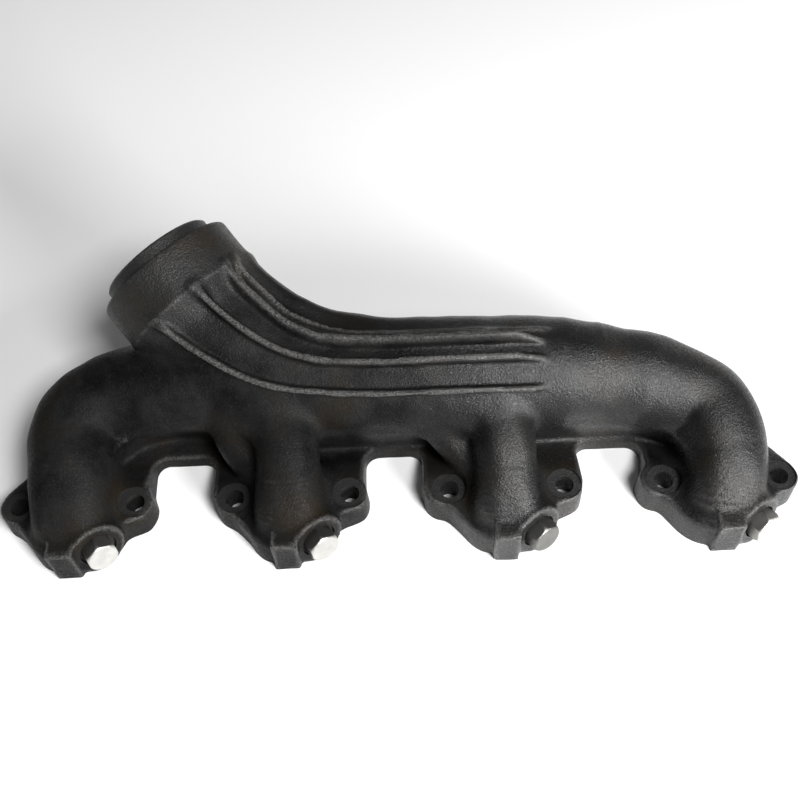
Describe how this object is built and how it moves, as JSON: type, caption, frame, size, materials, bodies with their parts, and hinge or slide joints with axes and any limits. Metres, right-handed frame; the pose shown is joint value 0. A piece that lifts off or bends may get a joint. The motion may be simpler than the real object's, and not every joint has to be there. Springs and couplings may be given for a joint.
{
  "type": "exhaust manifold",
  "caption": "Cast-iron log exhaust manifold with a four-port flange, cooling fins, an angled round outlet and hex plugs in its air-injection bosses.",
  "frame": {"origin": "on the head face, on the web above the middle window, 41.5 mm above the bolt line", "axes": "+X along the flange towards the closed end, +Y from the ports towards the log, +Z away from the cylinder head"},
  "size_m": [0.4614, 0.1825, 0.1272],
  "materials": {
    "cast_iron": "dark sand-cast skin, granular, slightly glossy grains",
    "plug_steel": "bare steel, turned end face"
  },
  "bodies": {
    "root": {"manifold_casting": "cast_iron", "air_port_plug_1": "plug_steel", "air_port_plug_2": "plug_steel", "air_port_plug_3": "plug_steel", "air_port_plug_4": "plug_steel"}
  },
  "joints": []
}
